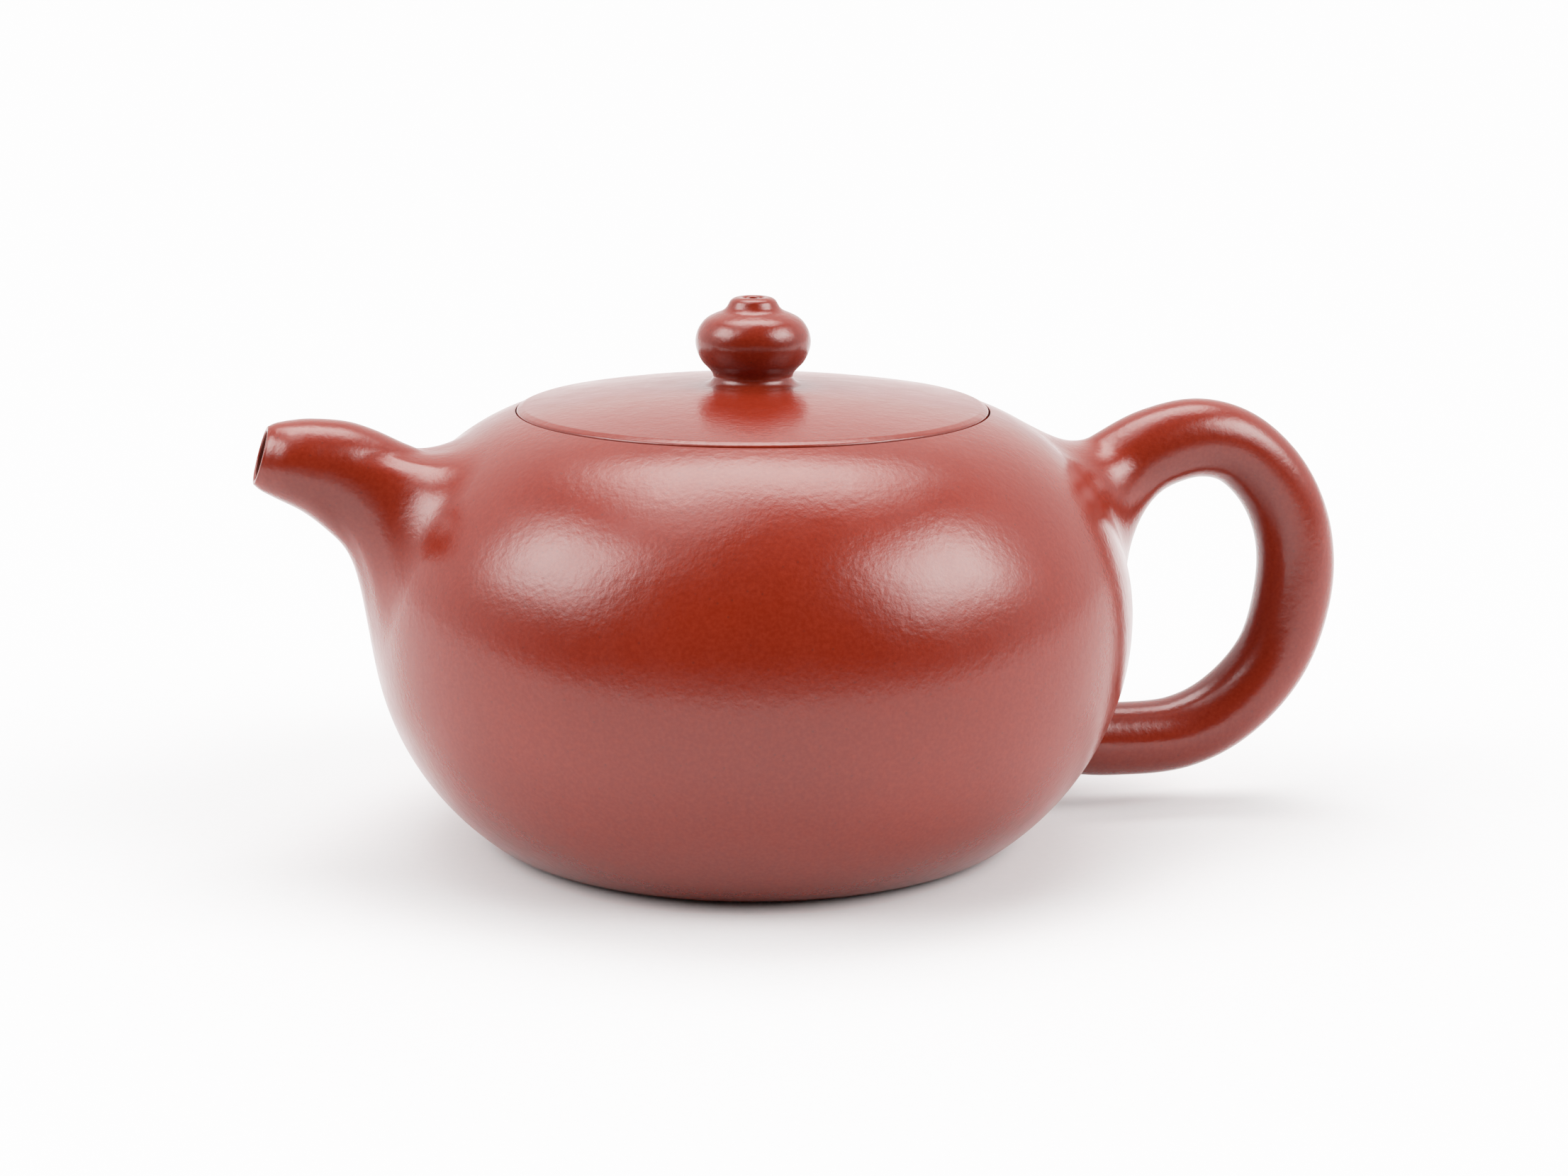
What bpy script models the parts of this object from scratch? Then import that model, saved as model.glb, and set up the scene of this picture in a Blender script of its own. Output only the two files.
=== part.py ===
"""Round clay teapot with an embedded lid, built from its separate luted pieces.

Frame: metres, +Z up.  The origin is the centre of the flat base, where the pot rests.
The spout points along -X and the handle along +X.  The lid turns and lifts on the Z axis.
Clay pieces that are luted together keep GAP between them, the thickness of the slip joint.
"""

import math

import bmesh
import bpy
from mathutils import Vector

MM = 0.001

# Belly: two arcs that meet at the widest ring, where both are upright.
BELLY_R = 52.5 * MM
BELLY_Z = 31.3 * MM
LOWER_ARC_R = 37.2 * MM
UPPER_ARC_R = 29.8 * MM
WALL = 3.0 * MM
GAP = 0.3 * MM

# Base disc and the levels where the belly is luted to the base and to the shoulder.
BASE_THICK = 2.7 * MM
BASE_EDGE_R = 0.8 * MM
SHOULDER_Z = 54.0 * MM

# Mouth and the ledge that the lid rests on.
MOUTH_R = 32.5 * MM
LEDGE_Z = 55.9 * MM
LEDGE_INNER_R = 28.5 * MM
LEDGE_DEPTH = 3.0 * MM
EDGE_SOFTEN = 0.3 * MM

# Lid: a shallow dome with a flange below it.
LID_R = 32.1 * MM
LID_TOP_Z = 63.1 * MM
LID_DOME_R = 150.0 * MM
LID_THICK = 3.1 * MM
LID_EDGE_R = 0.6 * MM
FLANGE_R = 28.1 * MM
FLANGE_THICK = 2.8 * MM
FLANGE_BOTTOM_Z = 49.0 * MM
BEAD_WIDTH = 1.8 * MM
VENT_R = 1.25 * MM

# Knob: a flattened ball on a short waist, with a collar round the vent.
KNOB_R = 7.87 * MM
KNOB_Z = 68.8 * MM
KNOB_UPPER = 5.1 * MM
KNOB_LOWER = 6.2 * MM
KNOB_WAIST_R = 5.3 * MM
KNOB_TOP_Z = 74.9 * MM
COLLAR_R = 3.3 * MM

# Spout sections from the lip to the root: (top x, top z, bottom x, bottom z, width), mm.
SPOUT_OUTER = [
    (-65.3, 59.2, -67.6, 51.9, 7.7),
    (-62.9, 59.9, -65.0, 49.8, 10.1),
    (-59.6, 60.1, -61.5, 47.8, 12.2),
    (-55.2, 59.7, -58.3, 45.1, 14.3),
    (-51.5, 58.3, -56.0, 42.4, 15.4),
    (-47.6, 56.3, -54.2, 38.5, 17.0),
    (-43.8, 55.0, -52.9, 34.0, 19.5),
    (-38.5, 53.5, -46.5, 31.0, 21.0),
]
SPOUT_BORE = [
    (-66.2, 59.2, -69.2, 52.5, 6.4),
    (-65.1, 58.4, -67.3, 52.6, 6.0),
    (-62.5, 58.4, -64.5, 51.3, 7.0),
    (-59.3, 58.2, -61.0, 49.9, 7.9),
    (-55.2, 57.4, -58.0, 47.9, 9.0),
    (-51.6, 55.7, -54.8, 45.2, 9.8),
    (-48.2, 53.1, -52.0, 41.3, 10.4),
    (-44.3, 49.2, -48.0, 36.2, 11.0),
    (-39.0, 44.5, -42.5, 32.0, 11.0),
]
SECTION_SIDES = 24

# Strainer: a pierced dome over the spout's root, inside the pot.
STRAINER_R = 9.2 * MM
STRAINER_THICK = 1.7 * MM
STRAINER_Z = 42.6 * MM
STRAINER_HOLE_R = 0.9 * MM
STRAINER_RINGS = [(0.0, 1), (24.0, 6), (46.0, 12)]

# Handle centre line from the upper root to the lower root: (x, z, radius), mm.
HANDLE = [
    (43.5, 42.3, 6.8),
    (52.8, 48.6, 6.4),
    (58.5, 51.9, 5.8),
    (65.2, 53.2, 5.6),
    (71.6, 51.4, 5.35),
    (77.3, 46.0, 5.35),
    (80.4, 38.5, 5.45),
    (80.6, 30.0, 5.6),
    (77.6, 20.8, 5.9),
    (71.2, 13.9, 5.9),
    (63.3, 10.2, 5.6),
    (53.5, 9.3, 5.5),
    (42.0, 10.6, 5.8),
]

TURN_STEPS = 48
KNOB_STEPS = 28
ARC_STEPS = 8

CLAY = (0.40, 0.10, 0.055, 1.0)
CLAY_INSIDE = (0.34, 0.085, 0.05, 1.0)


def clear_scene():
    for obj in list(bpy.data.objects):
        bpy.data.objects.remove(obj, do_unlink=True)


def make_collection(name):
    collection = bpy.data.collections.new(name)
    bpy.context.scene.collection.children.link(collection)
    return collection


def clay_material(name, colour, roughness):
    material = bpy.data.materials.new(name)
    material.use_nodes = True
    shader = material.node_tree.nodes["Principled BSDF"]
    shader.inputs["Base Color"].default_value = colour
    shader.inputs["Roughness"].default_value = roughness
    shader.inputs["Metallic"].default_value = 0.0
    return material


def add_object(name, mesh, collection, material=None):
    obj = bpy.data.objects.new(name, mesh)
    collection.objects.link(obj)
    if material:
        mesh.materials.append(material)
        mesh.shade_smooth()
        mesh.set_sharp_from_angle(angle=math.radians(32))
    else:
        obj.display_type = "WIRE"
        obj.hide_render = True
    return obj


def turned(name, outline, steps, collection, material=None, closed=True):
    """A turned piece: an (r, z) outline that runs down its outer side, spun round Z."""
    points = [(r, 0.0, z) for r, z in outline]
    edges = [(i, i + 1) for i in range(len(points) - 1)]
    if closed:
        edges.append((len(points) - 1, 0))
    mesh = bpy.data.meshes.new(name)
    mesh.from_pydata(points, edges, [])
    obj = add_object(name, mesh, collection, material)
    spin = obj.modifiers.new("Spin", "SCREW")
    spin.axis = "Z"
    spin.angle = math.tau
    spin.steps = steps
    spin.render_steps = steps
    spin.use_merge_vertices = True
    spin.merge_threshold = 0.00001
    spin.use_smooth_shade = bool(material)
    return obj


def subtract(obj, cutter):
    cut = obj.modifiers.new("Cut " + cutter.name, "BOOLEAN")
    cut.operation = "DIFFERENCE"
    cut.object = cutter


def keep_inside(obj, cutter):
    cut = obj.modifiers.new("Keep in " + cutter.name, "BOOLEAN")
    cut.operation = "INTERSECT"
    cut.object = cutter


def belly_radius(z, inset=0.0):
    """Radius of the belly at height z, measured inset below its outer surface."""
    arc = LOWER_ARC_R if z < BELLY_Z else UPPER_ARC_R
    return BELLY_R - arc + math.sqrt((arc - inset) ** 2 - (z - BELLY_Z) ** 2)


def belly_run(z_start, z_end, inset, steps=ARC_STEPS):
    """(r, z) points along the belly between two heights, even in angle on each arc."""
    def angle(z):
        arc = LOWER_ARC_R if z < BELLY_Z else UPPER_ARC_R
        return math.asin((z - BELLY_Z) / (arc - inset))
    start, end = angle(z_start), angle(z_end)
    count = max(2, round(steps * abs(end - start)))
    points = []
    for i in range(count + 1):
        a = start + (end - start) * i / count
        arc = LOWER_ARC_R if a < 0 else UPPER_ARC_R
        points.append((BELLY_R - arc + (arc - inset) * math.cos(a),
                       BELLY_Z + (arc - inset) * math.sin(a)))
    return points


def arc_points(centre_r, centre_z, radius, start_deg, end_deg, steps):
    """(r, z) points on an arc, angles measured from the +r direction."""
    points = []
    for i in range(steps + 1):
        a = math.radians(start_deg + (end_deg - start_deg) * i / steps)
        points.append((centre_r + radius * math.cos(a), centre_z + radius * math.sin(a)))
    return points


def dome_z(r, drop=0.0):
    """Height of the lid's dome at radius r, drop below its top surface."""
    return LID_TOP_Z - drop - LID_DOME_R + math.sqrt(LID_DOME_R ** 2 - r ** 2)


def base_disc(collection, material):
    rim = belly_radius(0.0)
    outline = [(0.0, BASE_THICK)]
    outline += belly_run(BASE_THICK, BASE_EDGE_R * 0.4, 0.0, 20)
    outline += [(rim - BASE_EDGE_R * 0.4, 0.0), (0.0, 0.0)]
    return turned("base_disc", outline, TURN_STEPS, collection, material, closed=False)


def body_wall(collection, material):
    foot = BASE_THICK + GAP
    outline = belly_run(SHOULDER_Z, foot, 0.0)
    outline += belly_run(foot, SHOULDER_Z, WALL)
    return turned("body_wall", outline, TURN_STEPS, collection, material)


def shoulder_disc(collection, material):
    low = SHOULDER_Z + GAP
    mouth_z = BELLY_Z + math.sqrt(UPPER_ARC_R ** 2 - (MOUTH_R - BELLY_R + UPPER_ARC_R) ** 2)
    lip = (MOUTH_R + EDGE_SOFTEN, mouth_z - EDGE_SOFTEN * 0.35)
    outline = [lip] + belly_run(lip[1], low, 0.0, 12)[1:]
    outline += belly_run(low, LEDGE_Z + GAP, WALL, 12)[:-1]
    outline += [(MOUTH_R + EDGE_SOFTEN, LEDGE_Z + GAP), (MOUTH_R, LEDGE_Z + GAP)]
    outline += [(MOUTH_R, mouth_z - EDGE_SOFTEN)]
    return turned("shoulder_disc", outline, TURN_STEPS, collection, material)


def mouth_ring(collection, material):
    outer = belly_run(LEDGE_Z - GAP, LEDGE_Z - 0.5 * LEDGE_DEPTH, WALL + GAP, 20)
    outline = [(MOUTH_R, LEDGE_Z)] + outer
    outline += [(outer[-1][0] - 0.8 * MM, LEDGE_Z - 0.9 * LEDGE_DEPTH)]
    outline += [(LEDGE_INNER_R + 0.6 * MM, LEDGE_Z - LEDGE_DEPTH)]
    outline += [(LEDGE_INNER_R, LEDGE_Z - LEDGE_DEPTH + 0.6 * MM)]
    outline += [(LEDGE_INNER_R, LEDGE_Z - EDGE_SOFTEN), (LEDGE_INNER_R + EDGE_SOFTEN, LEDGE_Z)]
    return turned("mouth_ring", outline, TURN_STEPS, collection, material)


def lid_plate(collection, material):
    seat = LEDGE_Z + GAP
    flat = LID_R - LID_EDGE_R
    outline = [(r, dome_z(r)) for r in (VENT_R, 7 * MM, 13 * MM, 19 * MM, 25 * MM, flat)]
    outline += arc_points(flat, dome_z(flat) - LID_EDGE_R, LID_EDGE_R, 60, 0, 2)
    outline += [(LID_R, seat + EDGE_SOFTEN), (LID_R - EDGE_SOFTEN, seat)]
    outline += [(FLANGE_R + GAP, seat)]
    under = (FLANGE_R + GAP, 22 * MM, 15 * MM, 8 * MM, VENT_R)
    outline += [(r, dome_z(r, LID_THICK)) for r in under]
    return turned("lid_plate", outline, TURN_STEPS, collection, material)


def lid_flange(collection, material):
    inner = FLANGE_R - FLANGE_THICK
    top = LID_THICK + GAP
    outline = [(FLANGE_R, dome_z(FLANGE_R, top))]
    outline += [(FLANGE_R, FLANGE_BOTTOM_Z + 0.8 * MM), (FLANGE_R - 0.8 * MM, FLANGE_BOTTOM_Z)]
    outline += [(inner + 0.6 * MM, FLANGE_BOTTOM_Z), (inner, FLANGE_BOTTOM_Z + 0.6 * MM)]
    outline += [(inner, dome_z(inner, top))]
    return turned("lid_flange", outline, TURN_STEPS, collection, material)


def lid_slip_bead(collection, material):
    outer = FLANGE_R - FLANGE_THICK - GAP
    inner = outer - BEAD_WIDTH
    top = LID_THICK + GAP
    outline = [(outer, dome_z(outer, top)), (outer, dome_z(outer, top) - BEAD_WIDTH)]
    outline += [(outer - 0.3 * BEAD_WIDTH, dome_z(outer, top) - 0.35 * BEAD_WIDTH)]
    outline += [(inner, dome_z(inner, top))]
    return turned("lid_slip_bead", outline, TURN_STEPS, collection, material)


def knob_ball(start_deg, end_deg, steps):
    """(r, z) points down the flattened ball, angles up from its widest ring."""
    points = []
    for i in range(steps + 1):
        a = math.radians(start_deg + (end_deg - start_deg) * i / steps)
        height = KNOB_UPPER if a > 0 else KNOB_LOWER
        points.append((KNOB_R * math.cos(a), KNOB_Z + height * math.sin(a)))
    return points


def lid_knob(collection, material):
    neck_z = KNOB_Z + KNOB_UPPER * math.sin(math.radians(46))
    outline = [(VENT_R, KNOB_TOP_Z - 0.2 * MM), (VENT_R + 0.3 * MM, KNOB_TOP_Z)]
    outline += arc_points(COLLAR_R - 0.8 * MM, KNOB_TOP_Z - 0.8 * MM, 0.8 * MM, 80, 0, 3)
    outline += [(COLLAR_R + 0.5 * MM, neck_z + 0.7 * MM)]
    outline += knob_ball(46, -45, 10)
    bottom = LID_TOP_Z + GAP
    outline += [(KNOB_WAIST_R, bottom + 0.5 * MM), (KNOB_WAIST_R + 0.3 * MM, bottom)]
    outline += [(VENT_R, bottom)]
    return turned("lid_knob", outline, KNOB_STEPS, collection, material)


def spline(values, per_span):
    """Rows of numbers read off a smooth curve through the given rows."""
    rows = []
    last = len(values) - 1
    for i in range(last):
        before = values[max(i - 1, 0)]
        after = values[min(i + 2, last)]
        for step in range(per_span):
            t = step / per_span
            row = []
            for a, b, c, d in zip(before, values[i], values[i + 1], after):
                tangent_in, tangent_out = 0.5 * (c - a), 0.5 * (d - b)
                row.append(b * (2 * t ** 3 - 3 * t ** 2 + 1) + c * (3 * t ** 2 - 2 * t ** 3)
                           + tangent_in * (t ** 3 - 2 * t ** 2 + t)
                           + tangent_out * (t ** 3 - t ** 2))
            rows.append(row)
    rows.append(list(values[-1]))
    return rows


def section_loft(name, sections, per_span, collection, material=None):
    """A solid lofted through oval sections that stand across the XZ plane."""
    mesh = bpy.data.meshes.new(name)
    bm = bmesh.new()
    rings = []
    for top_x, top_z, low_x, low_z, width in spline(sections, per_span):
        top = Vector((top_x, 0.0, top_z)) * MM
        low = Vector((low_x, 0.0, low_z)) * MM
        centre, half_height = (top + low) / 2, (top - low) / 2
        half_width = Vector((0.0, width / 2 * MM, 0.0))
        ring = []
        for i in range(SECTION_SIDES):
            a = math.tau * i / SECTION_SIDES
            place = centre + half_height * math.cos(a) + half_width * math.sin(a)
            ring.append(bm.verts.new(place))
        rings.append(ring)
    for near, far in zip(rings, rings[1:]):
        for i in range(SECTION_SIDES):
            j = (i + 1) % SECTION_SIDES
            bm.faces.new((near[i], near[j], far[j], far[i]))
    bm.faces.new(rings[0])
    bm.faces.new(rings[-1])
    bmesh.ops.recalc_face_normals(bm, faces=bm.faces)
    bm.to_mesh(mesh)
    bm.free()
    return add_object(name, mesh, collection, material)


def handle_tube(collection, material):
    """The handle as a bevelled curve, made a closed mesh."""
    path = bpy.data.curves.new("handle_path", "CURVE")
    path.dimensions = "3D"
    path.resolution_u = 3
    path.bevel_depth = 1.0
    path.bevel_resolution = 6
    path.use_fill_caps = True
    line = path.splines.new("BEZIER")
    line.bezier_points.add(len(HANDLE) - 1)
    for point, (x, z, radius) in zip(line.bezier_points, HANDLE):
        point.co = (x * MM, 0.0, z * MM)
        point.radius = radius * MM
        point.handle_left_type = "AUTO"
        point.handle_right_type = "AUTO"
    guide = bpy.data.objects.new("handle_path", path)
    collection.objects.link(guide)
    bpy.context.view_layer.update()
    solid = guide.evaluated_get(bpy.context.evaluated_depsgraph_get())
    mesh = bpy.data.meshes.new_from_object(solid)
    mesh.name = "handle"
    bm = bmesh.new()
    bm.from_mesh(mesh)
    bmesh.ops.remove_doubles(bm, verts=bm.verts, dist=0.000001)
    bmesh.ops.recalc_face_normals(bm, faces=bm.faces)
    bm.to_mesh(mesh)
    bm.free()
    mesh.materials.clear()
    obj = add_object("handle", mesh, collection, material)
    obj.matrix_world = guide.matrix_world
    bpy.data.objects.remove(guide, do_unlink=True)
    return obj


def outer_envelope(collection):
    """The whole outer belly, one slip joint larger, that spout and handle are fitted to."""
    top = SHOULDER_Z + 4.5 * MM
    outline = [(0.0, top)] + belly_run(top, 1.0 * MM, -GAP, 20) + [(0.0, 1.0 * MM)]
    return turned("envelope_cutter", outline, TURN_STEPS, collection, closed=False)


def inner_cavity(collection):
    """The hollow of the pot, one slip joint smaller, that the strainer is fitted to."""
    top, low = SHOULDER_Z - 2.0 * MM, 12.0 * MM
    outline = [(0.0, top)] + belly_run(top, low, WALL + GAP, 20) + [(0.0, low)]
    return turned("cavity_cutter", outline, TURN_STEPS, collection, closed=False)


def strainer_frame():
    """Centre of the strainer's dome on the inner wall, and its direction into the pot."""
    centre = Vector((-belly_radius(STRAINER_Z, WALL), 0.0, STRAINER_Z))
    arc_centre = Vector((-(BELLY_R - UPPER_ARC_R), 0.0, BELLY_Z))
    return centre, (arc_centre - centre).normalized()


def ball(name, centre, radius, collection, material=None):
    mesh = bpy.data.meshes.new(name)
    bm = bmesh.new()
    bmesh.ops.create_uvsphere(bm, u_segments=24, v_segments=16, radius=radius)
    bm.to_mesh(mesh)
    bm.free()
    obj = add_object(name, mesh, collection, material)
    direction = strainer_frame()[1]
    obj.rotation_euler = direction.to_track_quat("Z", "Y").to_euler()
    obj.location = centre
    return obj


def spout_strainer(collection, cutters, material, cavity):
    centre, inward = strainer_frame()
    dome = ball("spout_strainer", centre, STRAINER_R, collection, material)
    subtract(dome, ball("strainer_hollow", centre, STRAINER_R - STRAINER_THICK, cutters))
    keep_inside(dome, cavity)
    turn = inward.to_track_quat("Z", "Y")
    for tilt_deg, count in STRAINER_RINGS:
        for i in range(count):
            tilt, spin = math.radians(tilt_deg), math.tau * i / count
            local = Vector((math.sin(tilt) * math.cos(spin), math.sin(tilt) * math.sin(spin),
                            math.cos(tilt)))
            direction = turn @ local
            mesh = bpy.data.meshes.new("strainer_hole")
            bm = bmesh.new()
            bmesh.ops.create_cone(bm, cap_ends=True, segments=8, radius1=STRAINER_HOLE_R,
                                  radius2=STRAINER_HOLE_R, depth=4 * STRAINER_THICK)
            bm.to_mesh(mesh)
            bm.free()
            hole = add_object(f"strainer_hole_{tilt_deg:.0f}_{i}", mesh, cutters)
            hole.rotation_euler = direction.to_track_quat("Z", "Y").to_euler()
            hole.location = centre + direction * (STRAINER_R - STRAINER_THICK / 2)
            subtract(dome, hole)
    return dome


def main():
    clear_scene()
    parts = make_collection("yixing_clay_teapot")
    cutters = make_collection("cutters")

    base_disc(parts, clay_material("clay_base", CLAY, 0.55))
    wall = body_wall(parts, clay_material("clay_wall", CLAY, 0.42))
    shoulder_disc(parts, clay_material("clay_shoulder", CLAY, 0.42))
    mouth_ring(parts, clay_material("clay_mouth_ring", CLAY_INSIDE, 0.55))

    envelope = outer_envelope(cutters)
    cavity = inner_cavity(cutters)
    bore = section_loft("bore_cutter", SPOUT_BORE, 2, cutters)
    spout = section_loft("spout", SPOUT_OUTER, 2, parts, clay_material("clay_spout", CLAY, 0.42))
    subtract(spout, bore)
    subtract(spout, envelope)
    subtract(wall, bore)
    spout_strainer(parts, cutters, clay_material("clay_strainer", CLAY_INSIDE, 0.6), cavity)

    handle = handle_tube(parts, clay_material("clay_handle", CLAY, 0.42))
    subtract(handle, envelope)

    lid_plate(parts, clay_material("clay_lid", CLAY, 0.42))
    lid_flange(parts, clay_material("clay_flange", CLAY_INSIDE, 0.55))
    lid_slip_bead(parts, clay_material("clay_slip", CLAY_INSIDE, 0.6))
    lid_knob(parts, clay_material("clay_knob", CLAY, 0.42))


main()
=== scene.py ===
"""Looks of the round clay teapot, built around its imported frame.

Metres, +Z up, origin at the centre of the flat base, spout along -X, handle along +X.
Every piece stands for one or more CAD nodes and rides on their body.  The surfaces of
revolution are turned from outlines.  The spout and the handle are tubes along sections,
and each of their lines is led onto the belly by a fillet of its own.
"""

import math

import bmesh
import bpy
from mathutils import Matrix, Vector, noise


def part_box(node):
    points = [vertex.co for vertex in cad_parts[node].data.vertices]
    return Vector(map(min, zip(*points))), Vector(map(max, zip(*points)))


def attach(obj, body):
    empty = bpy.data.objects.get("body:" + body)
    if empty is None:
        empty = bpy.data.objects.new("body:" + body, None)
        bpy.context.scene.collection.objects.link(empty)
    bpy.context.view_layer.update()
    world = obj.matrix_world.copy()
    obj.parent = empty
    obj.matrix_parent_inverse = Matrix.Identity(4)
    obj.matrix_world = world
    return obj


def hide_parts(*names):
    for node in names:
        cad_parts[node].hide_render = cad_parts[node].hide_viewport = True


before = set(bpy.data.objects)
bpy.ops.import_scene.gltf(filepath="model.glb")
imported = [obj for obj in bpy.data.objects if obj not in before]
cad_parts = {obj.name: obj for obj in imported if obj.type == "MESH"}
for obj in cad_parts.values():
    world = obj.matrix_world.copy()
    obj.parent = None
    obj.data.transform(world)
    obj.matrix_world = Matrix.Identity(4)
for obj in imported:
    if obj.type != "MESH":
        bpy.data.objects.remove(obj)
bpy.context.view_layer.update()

MM = 0.001

# Belly: two arcs that meet at the widest ring, where both are upright.  The foot is rounded
# under up to BASE_ROUND_Z, and the floor inside meets the wall in a BASE_CORNER_R corner.
BELLY_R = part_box("body_wall")[1].y
BELLY_Z = 31.3 * MM
LOWER_ARC_R = 37.2 * MM
UPPER_ARC_R = 29.8 * MM
WALL = 3.0 * MM
BASE_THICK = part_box("base_disc")[1].z
BASE_ROUND_Z = 2.0 * MM
BASE_CORNER_R = 3.0 * MM

# Mouth, its ledge, and the lid that sits in it.  The lid is LID_FULLER wider than the CAD's
# plate, which closes the seam to a hairline.  LID_BEVEL is (width, drop).
MOUTH_R = 32.4 * MM
MOUTH_EDGE_R = 0.16 * MM
LEDGE_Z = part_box("mouth_ring")[1].z
LEDGE_INNER_R = 28.5 * MM
LEDGE_DEPTH = LEDGE_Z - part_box("mouth_ring")[0].z
SEAT_GAP = 0.3 * MM
LID_FULLER = 0.12 * MM
LID_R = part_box("lid_plate")[1].y + LID_FULLER
LID_TOP_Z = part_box("lid_plate")[1].z
LID_DOME_R = 168.0 * MM
LID_THICK = 3.1 * MM
LID_EDGE_R = 0.25 * MM
LID_BEVEL = (0.85 * MM, 0.42 * MM)
FLANGE_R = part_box("lid_flange")[1].y
FLANGE_THICK = 2.8 * MM
FLANGE_BOTTOM_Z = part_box("lid_flange")[0].z
BEAD_WIDTH = 1.8 * MM
VENT_R = 1.25 * MM

# Knob outline from the waist up to the vent: (radius, height), mm.
KNOB_OUTLINE = [
    (7.2, 62.9), (6.4, 63.05), (5.8, 63.4), (5.46, 64.0), (5.6, 64.6), (6.2, 65.3),
    (6.95, 66.1), (7.6, 67.4), (7.87, 68.8), (7.6, 70.2), (6.9, 71.4), (6.1, 72.1),
    (5.1, 72.6), (4.25, 72.95), (3.72, 73.35), (3.42, 73.8), (3.1, 74.35), (2.6, 74.7),
    (2.0, 74.83), (1.5, 74.75), (1.27, 74.45), (1.25, 73.6),
]

# Spout sections from the lip inwards: (top x, top z, bottom x, bottom z, width), mm.
# A section is widest at its middle, or CROWN mm below its top if that is higher.
SPOUT_OUTER = [
    (-65.4, 59.3, -67.7, 51.5, 7.0),
    (-64.5, 59.65, -66.8, 50.7, 8.5),
    (-62.4, 59.95, -64.7, 49.5, 11.2),
    (-59.6, 60.05, -61.5, 47.7, 12.6),
    (-55.2, 59.55, -58.3, 45.0, 12.9),
    (-51.5, 58.25, -56.0, 42.4, 12.9),
    (-47.6, 56.3, -54.2, 38.5, 12.9),
    (-43.8, 54.6, -52.5, 33.5, 13.0),
    (-37.0, 51.6, -46.5, 29.5, 13.4),
]
# The bore's sections, in the same columns.
SPOUT_BORE = [
    (-62.5, 58.4, -64.5, 51.3, 7.0),
    (-59.3, 58.2, -61.0, 49.9, 7.9),
    (-55.2, 57.4, -58.0, 47.9, 9.0),
    (-51.6, 55.7, -54.8, 45.2, 9.8),
    (-48.2, 53.1, -52.0, 41.3, 10.4),
    (-44.3, 49.2, -48.0, 36.2, 11.0),
    (-39.0, 44.5, -42.5, 32.0, 11.0),
]
CROWN = 6.5
# The lip is LIP_THICK mm thick and bulges by LIP_ROUND times half of that.
LIP_THICK = 0.7
LIP_ROUND = 0.6
# The hole in the belly's wall is this much wider than the bore, mm, and its cutter starts
# this far outside the belly.
BORE_EASE = 0.15
BORE_START = 2.5 * MM
# Fillets: reach along the tube, spread over the belly, and the pull at either end as a
# share of these.
SPOUT_FILLET_TOP = (3.8 * MM, 6.0 * MM, 0.45, 0.60)
SPOUT_FILLET_SIDE = (13.0 * MM, 9.5 * MM, 0.58, 0.65)
SPOUT_FILLET_LOW = (9.0 * MM, 15.0 * MM, 0.55, 0.55)

# Handle centre line from the upper root to the lower root: (x, z, radius), mm.
HANDLE = [
    (41.0, 40.0, 6.2),
    (47.5, 45.4, 6.2),
    (52.8, 48.8, 6.1),
    (58.5, 51.9, 5.8),
    (65.2, 53.2, 5.6),
    (71.5, 51.3, 5.35),
    (77.0, 45.8, 5.4),
    (80.1, 38.4, 5.5),
    (80.3, 30.0, 5.6),
    (77.5, 20.8, 5.4),
    (71.2, 13.75, 5.35),
    (63.3, 10.05, 5.3),
    (53.5, 9.6, 5.25),
    (46.0, 10.3, 5.25),
    (38.0, 11.5, 5.3),
]
# Fillets at the outer line, the sides and the inner line of each root.
HANDLE_FILLET_UP = ((4.8 * MM, 10.0 * MM, 0.45, 0.85), (8.5 * MM, 8.0 * MM, 0.5, 0.55),
                    (12.0 * MM, 12.0 * MM, 0.5, 0.5))
HANDLE_FILLET_LOW = ((1.6 * MM, 1.6 * MM, 0.55, 0.55), (3.2 * MM, 3.0 * MM, 0.55, 0.55),
                     (4.5 * MM, 4.0 * MM, 0.55, 0.55))

# Strainer: a pierced dome over the spout's root, inside the pot.  A ring of holes is
# (tilt from the dome's axis in degrees, number of holes).
STRAINER_R = 9.2 * MM
STRAINER_THICK = 1.7 * MM
STRAINER_Z = 42.6 * MM
STRAINER_HOLE_R = 0.9 * MM
STRAINER_RINGS = [(0.0, 1), (24.0, 6), (46.0, 12)]

# Meshes: how far a foot is tucked under the belly's surface, steps of a full turn, and the
# pitch of the rings outside and inside.  Edges sharper than SHARP_EDGE are shaded sharp, and
# a radius below ON_AXIS counts as none.
TUCK = 0.3 * MM
FINE_TURN = 300
KNOB_TURN = 160
OUTER_PITCH = 0.8 * MM
INNER_PITCH = 1.2 * MM
SHARP_EDGE = math.radians(50.0)
ON_AXIS = 1e-7

# Unevenness from the burnishing hand: two noises, each (scale per metre, share of WAVE_SIZE).
WAVE_SIZE = 0.045 * MM
WAVE_BROAD = (38.0, 1.4)
WAVE_CLOSE = (95.0, 0.6)
WAVE_SHIFT = Vector((7.0, 3.0, 1.0))

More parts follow.
